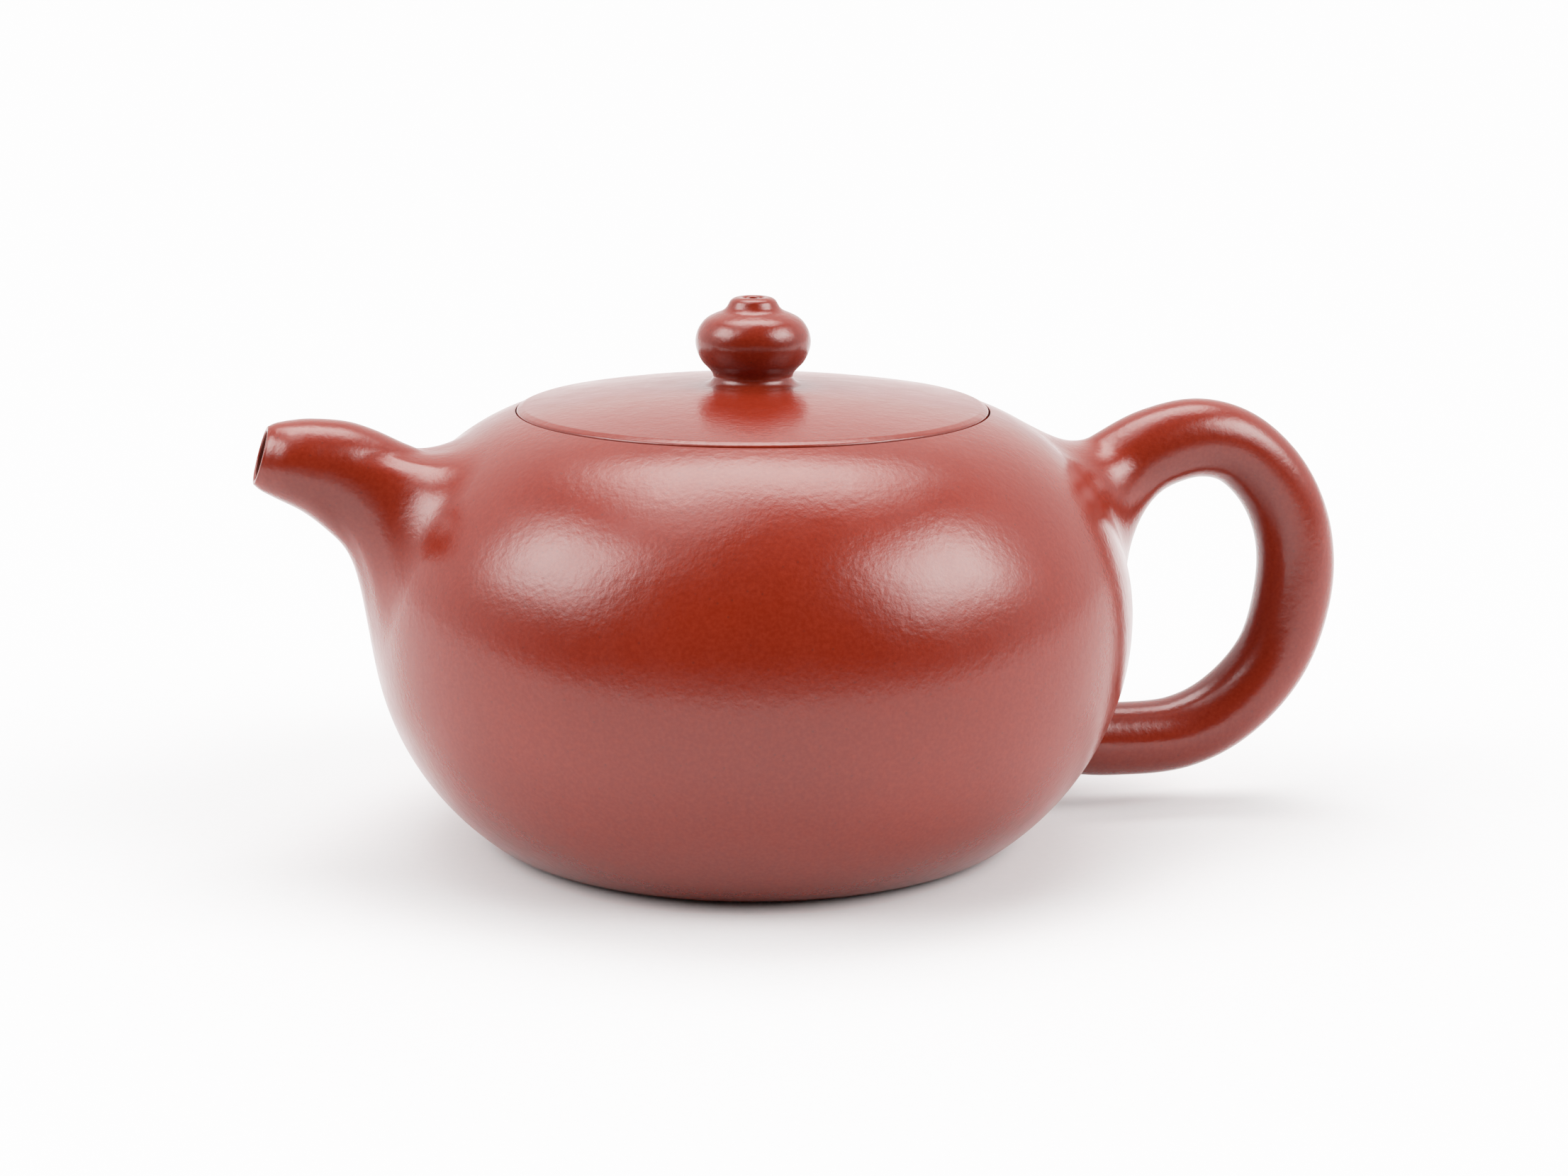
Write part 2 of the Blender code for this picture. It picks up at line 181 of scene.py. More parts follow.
# Burnished clay: linear colours, noise scales per metre, and depths of its relief.
CLAY_DEEP = (0.150, 0.0112, 0.0029)
CLAY_LIGHT = (0.166, 0.0130, 0.0034)
CLAY_DUST = (0.36, 0.050, 0.022)
CLAY_SPECK = (0.09, 0.012, 0.006)
CLAY_ROUGHNESS = (0.19, 0.25)
CLAY_IOR = 1.48
MOTTLE_SCALE = 55.0
DUST_SCALE = 2000.0
SPECK_SCALE = 620.0
SHEEN_SCALE = 240.0
PEEL_SCALE = 700.0
PEEL_DEPTH = 0.034 * MM
GRAIN_SCALE = 1500.0
GRAIN_DEPTH = 0.030 * MM

# Raw clay inside, in the same units.
RAW_DEEP = (0.150, 0.0180, 0.0070)
RAW_LIGHT = (0.205, 0.0290, 0.0120)
RAW_GRIT = (0.30, 0.07, 0.035)
RAW_ROUGHNESS = (0.58, 0.72)
RAW_IOR = 1.5
RAW_MOTTLE_SCALE = 90.0
GRIT_SCALE = 1500.0
MARKS_SCALE = 180.0
MARKS_DEPTH = 0.05 * MM
RAW_GRAIN_SCALE = 900.0
RAW_GRAIN_DEPTH = 0.06 * MM

# Floor paper.
PAPER_DARK = (0.77, 0.765, 0.765)
PAPER_LIGHT = (0.81, 0.805, 0.805)
PAPER_TOOTH_SCALE = 900.0

# Camera.  The camera side is the direction that the photographer stands on.
VIEW_TURN = math.radians(-13.0)
VIEW_DISTANCE = 0.410
VIEW_HEIGHT = 0.12385
VIEW_YAW = math.radians(-0.61)
VIEW_PITCH = math.radians(12.31)
VIEW_ROLL = math.radians(0.25)
LENS = 69.5
SENSOR = 36.0

# Studio light.  Angles are in degrees, and azimuth 0 is the camera side.  The wash grows
# from start to end, as cosines of the angle from the backdrop's middle, and dims with height.
WASH = {"start": -0.80, "end": 0.35, "level": 1.45, "full_deg": 36, "dim_deg": 56, "dim": 0.45}
# Panels: (azimuth, elevation, half width, half height, soft edge's share, radiance, roll).
PANELS = [
    (-73, 38, 18, 15, 0.6, 9.7, 0),
    (71, 36, 19, 16, 0.6, 10.6, 0),
    (180, 73, 23, 15, 0.55, 7.8, 0),
    (-65, 76, 12, 10, 0.5, 3.4, 20),
    (-50, 57, 13, 9, 0.7, 1.7, 0),
    (0, -9, 55, 7, 0.8, 0.7, 0),
]

# How scene light is shown: (scene level, shown level) on the shoulder, and the level of white.
TONE_POINTS = [(0.48, 0.48), (0.80, 0.66), (1.2, 0.80), (2.0, 0.955), (3.0, 1.0)]
TONE_WHITE = 4.0
# Scene level of the backdrop that the camera sees past the pot.
BACKDROP = 2.4
# The floor's disc, and how far it reaches from the pot towards the camera.
FLOOR_R = 9.0
FLOOR_FRONT = 0.19


# ---------------------------------------------------------------- outlines

def belly_radius(z, inset=0.0):
    """Radius of the belly at height z, measured inset below its outer surface."""
    arc = LOWER_ARC_R if z < BELLY_Z else UPPER_ARC_R
    return BELLY_R - arc + math.sqrt((arc - inset) ** 2 - (z - BELLY_Z) ** 2)


def belly_run(z_start, z_end, inset, pitch):
    """(r, z) points along the belly between two heights, about pitch apart."""

    def angle(z):
        arc = LOWER_ARC_R if z < BELLY_Z else UPPER_ARC_R
        return math.asin((z - BELLY_Z) / (arc - inset))

    start, end = angle(z_start), angle(z_end)
    count = max(2, round(LOWER_ARC_R * abs(end - start) / pitch))
    points = []
    for i in range(count + 1):
        a = start + (end - start) * i / count
        arc = LOWER_ARC_R if a < 0 else UPPER_ARC_R
        points.append((BELLY_R - arc + (arc - inset) * math.cos(a),
                       BELLY_Z + (arc - inset) * math.sin(a)))
    return points


def dome_z(r, drop=0.0):
    """Height of the lid's dome at radius r, drop below its top surface."""
    return LID_TOP_Z - drop - LID_DOME_R + math.sqrt(LID_DOME_R ** 2 - r ** 2)


def dome_run(r_start, r_end, drop, count):
    """(r, z) points along the lid's dome between two radii."""
    radii = [r_start + (r_end - r_start) * i / count for i in range(count + 1)]
    return [(r, dome_z(r, drop)) for r in radii]


def rounded(corners, steps=5):
    """An (r, z) outline with its corners rounded.  A corner is (r, z, radius).

    The radius is cut down where it would use more than 0.49 of a side.
    """
    points = []
    for i, (r, z, radius) in enumerate(corners):
        here = Vector((r, z))
        if radius == 0 or i in (0, len(corners) - 1):
            points.append((r, z))
            continue
        before = Vector(corners[i - 1][:2]) - here
        after = Vector(corners[i + 1][:2]) - here
        reach = min(radius, 0.49 * before.length, 0.49 * after.length)
        start = here + before.normalized() * reach
        end = here + after.normalized() * reach
        for step in range(steps + 1):
            t = step / steps
            place = start * (1 - t) ** 2 + here * 2 * t * (1 - t) + end * t ** 2
            points.append((place.x, place.y))
    return points


def spline(rows, per_span):
    """Rows of numbers read off a smooth curve through the given rows, per_span to a span."""
    out = []
    last = len(rows) - 1
    for i in range(last):
        before, after = rows[max(i - 1, 0)], rows[min(i + 2, last)]
        for step in range(per_span):
            t = step / per_span
            row = []
            for a, b, c, d in zip(before, rows[i], rows[i + 1], after):
                tangent_in, tangent_out = 0.5 * (c - a), 0.5 * (d - b)
                row.append(b * (2 * t ** 3 - 3 * t ** 2 + 1) + c * (3 * t ** 2 - 2 * t ** 3)
                           + tangent_in * (t ** 3 - 2 * t ** 2 + t)
                           + tangent_out * (t ** 3 - t ** 2))
            out.append(row)
    out.append(list(rows[-1]))
    return out


# ---------------------------------------------------------------- the belly as a surface

def arc_centre(point):
    """Centre and radius of the belly's arc in the upright plane through point."""
    around = Vector((point.x, point.y, 0.0)).normalized()
    arc = LOWER_ARC_R if point.z < BELLY_Z else UPPER_ARC_R
    return around * (BELLY_R - arc) + Vector((0.0, 0.0, BELLY_Z)), arc


def above_belly(point):
    """Height of a point above the belly's outer surface, negative inside."""
    centre, arc = arc_centre(point)
    return (point - centre).length - arc


def onto_belly(point, height=0.0):
    """The place straight below or above point, height over the belly's surface."""
    centre, arc = arc_centre(point)
    return centre + (point - centre).normalized() * (arc + height)


def belly_normal(point):
    """The way out of the belly's surface at a point."""
    return (point - arc_centre(point)[0]).normalized()


# ---------------------------------------------------------------- mesh helpers

def hand_wave(point):
    """Slow unevenness that hand burnishing leaves, as a height over the true surface."""
    broad_scale, broad_share = WAVE_BROAD
    close_scale, close_share = WAVE_CLOSE
    broad = noise.noise(point * broad_scale)
    close = noise.noise(point * close_scale + WAVE_SHIFT)
    return WAVE_SIZE * (broad_share * broad + close_share * close)


def finish_piece(bm, name, materials, body, slot, *nodes, wave=True):
    """Turns a bmesh into a finished piece that rides on body and stands for nodes."""
    bmesh.ops.recalc_face_normals(bm, faces=bm.faces)
    if wave:
        bm.normal_update()
        moved = [(v, v.co + v.normal * hand_wave(v.co)) for v in bm.verts]
        for vertex, place in moved:
            vertex.co = place
            vertex.co.z = max(vertex.co.z, 0.0)
    mesh = bpy.data.meshes.new(name)
    bm.to_mesh(mesh)
    bm.free()
    mesh.shade_smooth()
    mesh.set_sharp_from_angle(angle=SHARP_EDGE)
    obj = bpy.data.objects.new(name, mesh)
    bpy.context.scene.collection.objects.link(obj)
    for material in materials:
        mesh.materials.append(material)
    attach(obj, body)
    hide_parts(*nodes)
    return obj


def turned(outline, steps=FINE_TURN, closed=True):
    """A bmesh turned from an (r, z) outline, with one vertex where it meets the axis."""
    bm = bmesh.new()
    columns = []
    poles = {}
    for step in range(steps):
        a = math.tau * step / steps
        column = []
        for i, (r, z) in enumerate(outline):
            if r < ON_AXIS:
                if i not in poles:
                    poles[i] = bm.verts.new((0.0, 0.0, z))
                column.append(poles[i])
            else:
                column.append(bm.verts.new((r * math.cos(a), r * math.sin(a), z)))
        columns.append(column)
    last = len(outline) if closed else len(outline) - 1
    for step in range(steps):
        near, far = columns[step], columns[(step + 1) % steps]
        for i in range(last):
            j = (i + 1) % len(outline)
            corners = []
            for vertex in (near[i], far[i], far[j], near[j]):
                if vertex not in corners:
                    corners.append(vertex)
            if len(corners) > 2:
                bm.faces.new(corners)
    return bm


def skin(bm, rings, wrap=False):
    """Faces between rings of places, all with the same count.  Returns the rings' vertices."""
    made = [[bm.verts.new(place) for place in ring] for ring in rings]
    pairs = list(zip(made, made[1:]))
    if wrap:
        pairs.append((made[-1], made[0]))
    for near, far in pairs:
        for i in range(len(near)):
            j = (i + 1) % len(near)
            bm.faces.new((near[i], near[j], far[j], far[i]))
    return made


def cap(bm, ring, centre):
    """Closes a ring of vertices with a fan of faces round centre."""
    middle = bm.verts.new(centre)
    for i in range(len(ring)):
        bm.faces.new((ring[i], ring[(i + 1) % len(ring)], middle))


def cut_with(obj, cutter_bm):
    """Cuts a closed cutter out of obj for good."""
    bmesh.ops.recalc_face_normals(cutter_bm, faces=cutter_bm.faces)
    mesh = bpy.data.meshes.new("cutter")
    cutter_bm.to_mesh(mesh)
    cutter_bm.free()
    cutter = bpy.data.objects.new("cutter", mesh)
    bpy.context.scene.collection.objects.link(cutter)
    cut = obj.modifiers.new("Cut", "BOOLEAN")
    cut.operation = "DIFFERENCE"
    cut.solver = "EXACT"
    cut.object = cutter
    bpy.context.view_layer.update()
    seen = obj.evaluated_get(bpy.context.evaluated_depsgraph_get())
    result = bpy.data.meshes.new_from_object(seen)
    obj.modifiers.clear()
    obj.data = result
    bpy.data.objects.remove(cutter, do_unlink=True)


def fillet_down(line, spine, sizes, rows, fillet_rows):
    """A tube line that is led onto the belly by a fillet.

    line runs from the free end to inside the belly, and spine is the tube's centre beside
    each of its places.  sizes are reach, spread and two shares.  The fillet leaves the tube
    at reach before the belly and lands spread away from the tube.  The first share of the
    reach pulls its curve along the tube, and the second share of the spread pulls it along
    the belly.  The result is rows + 1 places along the tube, fillet_rows places down to
    the belly, and two places that tuck the edge below its surface.
    """
    reach, spread, leave_share, land_share = sizes
    probe = 0.2 * MM
    hit = next(i for i, place in enumerate(line) if above_belly(place) < 0.0)
    high, low = above_belly(line[hit - 1]), above_belly(line[hit])
    share = high / (high - low)
    foot = line[hit - 1].lerp(line[hit], share)
    middle = spine[hit - 1].lerp(spine[hit], share)
    run = line[:hit] + [foot]
    lengths = [0.0]
    for a, b in zip(run, run[1:]):
        lengths.append(lengths[-1] + (b - a).length)

    def along(distance):
        for i in range(1, len(run)):
            if distance <= lengths[i]:
                t = (distance - lengths[i - 1]) / max(lengths[i] - lengths[i - 1], 1e-12)
                return run[i - 1].lerp(run[i], t)
        return run[-1]

    leave = lengths[-1] - reach
    places = [along(leave * i / rows) for i in range(rows + 1)]
    start = places[-1]
    heading = (along(leave + probe) - along(leave - probe)).normalized()
    up = belly_normal(foot)
    away = foot - middle
    away = (away - up * away.dot(up)).normalized()
    end = onto_belly(foot + away * spread)
    landing = -away
    landing = (landing - belly_normal(end) * landing.dot(belly_normal(end))).normalized()
    leave_pull = start + heading * leave_share * reach
    land_pull = end + landing * land_share * spread
    for i in range(1, fillet_rows + 1):
        t = i / fillet_rows
        places.append(start * (1 - t) ** 3 + leave_pull * 3 * t * (1 - t) ** 2
                      + land_pull * 3 * t ** 2 * (1 - t) + end * t ** 3)
    places.append(onto_belly(end - landing * 2 * TUCK, -TUCK / 20))
    places.append(onto_belly(end - landing * 4 * TUCK, -TUCK))
    return places


def around_root(angle, top, side, low):
    """Fillet sizes at an angle round a root, from those at its top, sides and bottom."""
    lowness = (1 - math.cos(angle)) / 2
    sideness = math.sin(angle) ** 2
    return [(at_top * (1 - lowness) + at_low * lowness) * (1 - sideness) + at_side * sideness
            for at_top, at_side, at_low in zip(top, side, low)]


def oval(row, angle, inset=0.0):
    """A place on a spout section at an angle from its top, and the section's centre.

    inset, in mm, makes the section smaller all round, or larger if it is negative.
    """
    top_x, top_z, low_x, low_z, width = row
    top, low = Vector((top_x, 0.0, top_z)), Vector((low_x, 0.0, low_z))
    centre = top.lerp(low, min(0.5, CROWN / (top - low).length))
    half_height = top - centre if math.cos(angle) > 0 else centre - low
    half_height = half_height * (1 - inset / half_height.length)
    half_width = Vector((0.0, width / 2 - inset, 0.0))
    place = centre + half_height * math.cos(angle) + half_width * math.sin(angle)
    return place * MM, centre * MM


# ---------------------------------------------------------------- materials

class Nodes:
    """Adds shader nodes to a material and links them by socket name."""

    def __init__(self, material):
        material.use_nodes = True
        self.tree = material.node_tree
        self.shader = self.tree.nodes["Principled BSDF"]

    def add(self, kind, **settings):
        node = self.tree.nodes.new(kind)
        for key, value in settings.items():
            setattr(node, key, value)
        return node

    def link(self, source, socket, target, into):
        self.tree.links.new(source.outputs[socket], target.inputs[into])

    def noise(self, where, scale, detail=2.0, roughness=0.5):
        node = self.add("ShaderNodeTexNoise", noise_dimensions="3D")
        node.inputs["Scale"].default_value = scale
        node.inputs["Detail"].default_value = detail
        node.inputs["Roughness"].default_value = roughness
        self.link(where, "Object", node, "Vector")
        return node

    def remap(self, source, socket, low, high, to_low, to_high):
        """Maps the range low to high onto to_low to to_high, and clamps."""
        node = self.add("ShaderNodeMapRange")
        for name, value in (("From Min", low), ("From Max", high),
                            ("To Min", to_low), ("To Max", to_high)):
            node.inputs[name].default_value = value
        self.link(source, socket, node, "Value")
        return node

    def mix(self, factor, factor_socket, a, b):
        """A colour mix.  a and b are colours, or what another mix returned.

        The node's colour sockets share their names with its other ones, so they are taken
        by number: inputs 6 and 7, and output 2.
        """
        node = self.add("ShaderNodeMix", data_type="RGBA")
        self.link(factor, factor_socket, node, "Factor")
        for index, value in ((6, a), (7, b)):
            if isinstance(value, bpy.types.NodeSocket):
                self.tree.links.new(value, node.inputs[index])
            else:
                node.inputs[index].default_value = (*value, 1.0)
        return node.outputs[2]

    def colour(self, mixed):
        """Gives a mixed colour to the shader."""
        self.tree.links.new(mixed, self.shader.inputs["Base Color"])

    def bump(self, height, socket, distance, strength=1.0, before=None):
        """Relief of a depth, on top of the relief before it."""
        node = self.add("ShaderNodeBump")
        node.inputs["Distance"].default_value = distance
        node.inputs["Strength"].default_value = strength
        self.link(height, socket, node, "Height")
        if before:
            self.link(before, "Normal", node, "Normal")
        return node


def burnished_clay():
    """Satin red-brown stoneware: fine orange-peel grain, mottling, and a few specks."""
    material = bpy.data.materials.new("burnished_clay")
    n = Nodes(material)
    where = n.add("ShaderNodeTexCoord")
    mottle = n.noise(where, MOTTLE_SCALE)
    tone = n.remap(mottle, "Fac", 0.30, 0.70, 0.0, 1.0)
    colour = n.mix(tone, "Result", CLAY_DEEP, CLAY_LIGHT)
    dust = n.noise(where, DUST_SCALE)
    dust_amount = n.remap(dust, "Fac", 0.35, 0.75, 0.0, 0.14)
    dusted = n.mix(dust_amount, "Result", colour, CLAY_DUST)
    specks = n.add("ShaderNodeTexVoronoi", feature="F1")
    specks.inputs["Scale"].default_value = SPECK_SCALE
    n.link(where, "Object", specks, "Vector")
    speck_amount = n.remap(specks, "Distance", 0.06, 0.12, 0.55, 0.0)
    speckled = n.mix(speck_amount, "Result", dusted, CLAY_SPECK)
    n.colour(speckled)

    sheen = n.noise(where, SHEEN_SCALE, detail=3.0)
    rough = n.remap(sheen, "Fac", 0.25, 0.75, *CLAY_ROUGHNESS)
    n.link(rough, "Result", n.shader, "Roughness")
    n.shader.inputs["IOR"].default_value = CLAY_IOR

    peel = n.noise(where, PEEL_SCALE)
    grain = n.noise(where, GRAIN_SCALE, detail=3.0, roughness=0.6)
    first = n.bump(peel, "Fac", PEEL_DEPTH)
    second = n.bump(grain, "Fac", GRAIN_DEPTH, before=first)
    n.link(second, "Normal", n.shader, "Normal")
    return material


def raw_clay():
    """The unburnished inside: matt, gritty, with faint turning marks."""
    material = bpy.data.materials.new("raw_clay")
    n = Nodes(material)
    where = n.add("ShaderNodeTexCoord")
    mottle = n.noise(where, RAW_MOTTLE_SCALE, detail=4.0)
    tone = n.remap(mottle, "Fac", 0.3, 0.7, 0.0, 1.0)
    colour = n.mix(tone, "Result", RAW_DEEP, RAW_LIGHT)
    grit = n.noise(where, GRIT_SCALE)
    grit_amount = n.remap(grit, "Fac", 0.58, 0.75, 0.0, 0.35)
    gritty = n.mix(grit_amount, "Result", colour, RAW_GRIT)
    n.colour(gritty)
    rough = n.remap(mottle, "Fac", 0.3, 0.7, *RAW_ROUGHNESS)
    n.link(rough, "Result", n.shader, "Roughness")
    n.shader.inputs["IOR"].default_value = RAW_IOR
    marks = n.add("ShaderNodeTexWave", wave_type="BANDS", bands_direction="Z")
    marks.inputs["Scale"].default_value = MARKS_SCALE
    marks.inputs["Distortion"].default_value = 3.0
    marks.inputs["Detail"].default_value = 2.0
    n.link(where, "Object", marks, "Vector")
    grain = n.noise(where, RAW_GRAIN_SCALE, detail=4.0, roughness=0.65)
    first = n.bump(marks, "Fac", MARKS_DEPTH, strength=0.6)
    second = n.bump(grain, "Fac", RAW_GRAIN_DEPTH, before=first)
    n.link(second, "Normal", n.shader, "Normal")
    return material


def paper_white():
    """Plain pale paper with a fine tooth."""
    material = bpy.data.materials.new("floor_paper")
    n = Nodes(material)
    where = n.add("ShaderNodeTexCoord")
    tooth = n.noise(where, PAPER_TOOTH_SCALE)
    tone = n.mix(tooth, "Fac", PAPER_DARK, PAPER_LIGHT)
    n.colour(tone)
    n.shader.inputs["Roughness"].default_value = 0.7
    n.shader.inputs["Specular IOR Level"].default_value = 0.2
    return material


# ---------------------------------------------------------------- the pieces

def middle_of(ring):
    """The mean place of a ring of vertices."""
    return sum((v.co for v in ring), Vector()) / len(ring)


def bore_cutter():
    """A closed plug along the spout's bore, through the belly's wall."""
    sides = 48
    angles = [math.tau * i / sides for i in range(sides)]
    rows = [row for row in spline(SPOUT_BORE, 4) if above_belly(oval(row, 0.0)[1]) < BORE_START]
    rings = [[oval(row, a, inset=-BORE_EASE)[0] for a in angles] for row in rows]
    plug = bmesh.new()
    made = skin(plug, rings)
    for ring in (made[0], made[-1]):
        cap(plug, ring, middle_of(ring))
    return plug


def make_belly(outside, inside):
    """Base, wall and shoulder as one burnished vessel with its real thickness."""
    disc_rings, floor_rings = 24, 20
    side = 2.1  # length of a side beside a rounding, so that rounded() keeps its radius
    mouth_z = BELLY_Z + math.sqrt(UPPER_ARC_R ** 2 - (MOUTH_R - BELLY_R + UPPER_ARC_R) ** 2)
    # The foot's corner is where the wall's tangent at BASE_ROUND_Z meets the floor.
    rise = BELLY_Z - BASE_ROUND_Z
    outset = BASE_ROUND_Z * rise / math.sqrt(LOWER_ARC_R ** 2 - rise ** 2)
    corner = belly_radius(BASE_ROUND_Z) - outset
    reach = math.hypot(outset, BASE_ROUND_Z)
    foot = rounded([(corner - side * reach, 0.0, 0.0), (corner, 0.0, reach),
                    (corner + side * outset, side * BASE_ROUND_Z, 0.0)], 10)[1:-1]
    underside = [(foot[0][0] * i / disc_rings, 0.0) for i in range(disc_rings)]
    outer = underside + foot + belly_run(BASE_ROUND_Z, mouth_z, 0.0, OUTER_PITCH)[1:-1]
    throat = rounded([(MOUTH_R + 1.2 * MOUTH_EDGE_R, mouth_z - 0.2 * MOUTH_EDGE_R, 0.0),
                      (MOUTH_R, mouth_z + 0.1 * MOUTH_EDGE_R, MOUTH_EDGE_R),
                      (MOUTH_R, mouth_z - 4 * MOUTH_EDGE_R, 0.0)])
    outline = outer + throat + [(MOUTH_R, LEDGE_Z + 0.1 * MM)]
    inner_start = len(outline)
    inner = belly_run(LEDGE_Z - 0.4 * LEDGE_DEPTH, BASE_THICK + BASE_CORNER_R, WALL,
                      INNER_PITCH)
    outline += [(MOUTH_R + 0.2 * MM, LEDGE_Z - 0.2 * LEDGE_DEPTH)] + inner
    corner_r = inner[-1][0]
    outline += rounded([(corner_r, BASE_THICK + BASE_CORNER_R, 0.0),
                        (corner_r - 1.2 * BASE_CORNER_R, BASE_THICK, BASE_CORNER_R),
                        (corner_r - 2.4 * BASE_CORNER_R, BASE_THICK, 0.0)])[1:]
    floor_r = outline[-1][0]
    outline += [(floor_r * (1 - i / floor_rings), BASE_THICK) for i in range(1, floor_rings + 1)]
    bm = turned(outline, closed=False)
    bm.faces.ensure_lookup_table()
    per_column = len(bm.faces) // FINE_TURN
    for index, face in enumerate(bm.faces):
        if index % per_column >= inner_start - 1:
            face.material_index = 1
    belly = finish_piece(bm, "belly", [outside, inside], "pot", "clay_body",
                         "base_disc", "body_wall", "shoulder_disc")
    cut_with(belly, bore_cutter())


def make_mouth_ledge(inside):
    """The ring inside the mouth that the lid rests on.  It reaches into the wall by overlap."""
    overlap, under_width = 0.1 * MM, 2.4 * MM
    outer_r = belly_radius(LEDGE_Z - LEDGE_DEPTH / 2, WALL) + overlap
    low = LEDGE_Z - LEDGE_DEPTH
    outline = rounded([(MOUTH_R + overlap, LEDGE_Z, 0.0),
                       (LEDGE_INNER_R, LEDGE_Z, 0.5 * MM),
                       (LEDGE_INNER_R, low, 0.9 * MM),
                       (LEDGE_INNER_R + under_width, low, 1.0 * MM),
                       (outer_r, LEDGE_Z - 0.75 * LEDGE_DEPTH, 0.0)], 6)
    outline += [(outer_r, LEDGE_Z - LEDGE_DEPTH / 2)]
    finish_piece(turned(outline), "mouth_ledge", [inside], "pot", "clay_inside", "mouth_ring")


def make_spout(outside, inside):
    """A hollow spout with a thin round lip, filleted onto the belly."""
    sides, rows, fillet_rows = 112, 64, 16
    bore_steps, lip_steps, contact_steps = 12, 8, 6
    dense = spline(SPOUT_OUTER, 24)
    bore_dense = spline([SPOUT_OUTER[0]] + SPOUT_BORE, bore_steps)
    lines = []
    bores = []
    for i in range(sides):
        a = math.tau * i / sides
        places = [oval(row, a) for row in dense]
        sizes = around_root(a, SPOUT_FILLET_TOP, SPOUT_FILLET_SIDE, SPOUT_FILLET_LOW)
        lines.append(fillet_down([p for p, _ in places], [c for _, c in places], sizes,
                                 rows, fillet_rows))
        bore = []
        for j, row in enumerate(bore_dense):
            inset = LIP_THICK * max(0.0, 1 - j / bore_steps)
            bore.append(oval(row, a, inset)[0])
        bores.append([p for p in bore if above_belly(p) > -TUCK])
    shortest = min(len(b) for b in bores)
    bores = [b[:shortest] for b in bores]
    outer_tip = [line[0] for line in lines]
    inner_tip = [bore[0] for bore in bores]
    top_line, low_line = lines[0], lines[sides // 2]
    heading = (top_line[0] + low_line[0] - top_line[3] - low_line[3]).normalized()
    lip = []
    for step in range(1, lip_steps):
        turn = math.pi * step / lip_steps
        ring = []
        for out_place, in_place in zip(outer_tip, inner_tip):
            middle, half = (out_place + in_place) / 2, (out_place - in_place) / 2
            ring.append(middle + half * math.cos(turn)
                        + heading * LIP_ROUND * half.length * math.sin(turn))
        lip.append(ring)
    tuck = [line[-1] for line in lines]
    inner_foot = [onto_belly(bore[-1], -TUCK) for bore in bores]
    contact = []
    for step in range(1, contact_steps):
        share = step / contact_steps
        contact.append([onto_belly(a.lerp(b, share), -TUCK) for a, b in zip(tuck, inner_foot)])
    rings = [list(ring) for ring in zip(*lines)] + contact + [inner_foot]
    rings += [list(ring) for ring in reversed(list(zip(*bores)))][1:]
    bore_start = len(lines[0]) + len(contact)
    rings += lip[::-1]
    bm = bmesh.new()
    skin(bm, rings, wrap=True)
    bm.faces.ensure_lookup_table()
    for index, face in enumerate(bm.faces):
        if bore_start <= index // sides < len(rings) - len(lip) - 1:
            face.material_index = 1
    finish_piece(bm, "spout_shell", [outside, inside], "pot", "clay_body", "spout")


def make_strainer(inside):
    """A pierced dome that stands on the inner wall over the spout's root."""
    centre = Vector((-belly_radius(STRAINER_Z, WALL), 0.0, STRAINER_Z))
    arc_middle = Vector((-(BELLY_R - UPPER_ARC_R), 0.0, BELLY_Z))
    inward = (arc_middle - centre).normalized()
    turn = inward.to_track_quat("Z", "Y")
    sides, rows = 72, 26
    tilt_step, most_steps, sunk = 0.6, 200, 0.1 * MM

    def direction(tilt, spin):
        """The way from the dome's centre, tilt away from its axis and spin round it."""
        return turn @ Vector((math.sin(tilt) * math.cos(spin), math.sin(tilt) * math.sin(spin),
                              math.cos(tilt)))

    def dome_line(spin, radius):
        """Places down one side of the dome, until it is sunk into the wall."""
        line = []
        for i in range(1, most_steps):
            place = centre + direction(math.radians(i * tilt_step), spin) * radius
            line.append(place)
            if above_belly(place) > -WALL + sunk:
                break
        return [line[round((len(line) - 1) * i / rows)] for i in range(rows + 1)]

    spins = [math.tau * i / sides for i in range(sides)]
    outer = [dome_line(s, STRAINER_R) for s in spins]
    inner = [dome_line(s, STRAINER_R - STRAINER_THICK) for s in spins]
    bm = bmesh.new()
    rings = list(zip(*outer)) + list(reversed(list(zip(*inner))))
    made = skin(bm, rings)
    cap(bm, made[0], centre + inward * STRAINER_R)
    cap(bm, made[-1], centre + inward * (STRAINER_R - STRAINER_THICK))
    dome = finish_piece(bm, "strainer_dome", [inside], "pot", "clay_inside", "spout_strainer",
                        wave=False)
    holes = bmesh.new()
    for tilt_deg, count in STRAINER_RINGS:
        for i in range(count):
            way = direction(math.radians(tilt_deg), math.tau * i / count)
            place = Matrix.Translation(centre + way * (STRAINER_R - STRAINER_THICK / 2))
            place = place @ way.to_track_quat("Z", "Y").to_matrix().to_4x4()
            bmesh.ops.create_cone(holes, cap_ends=True, segments=20, radius1=STRAINER_HOLE_R,
                                  radius2=STRAINER_HOLE_R, depth=4 * STRAINER_THICK,
                                  matrix=place)
    cut_with(dome, holes)


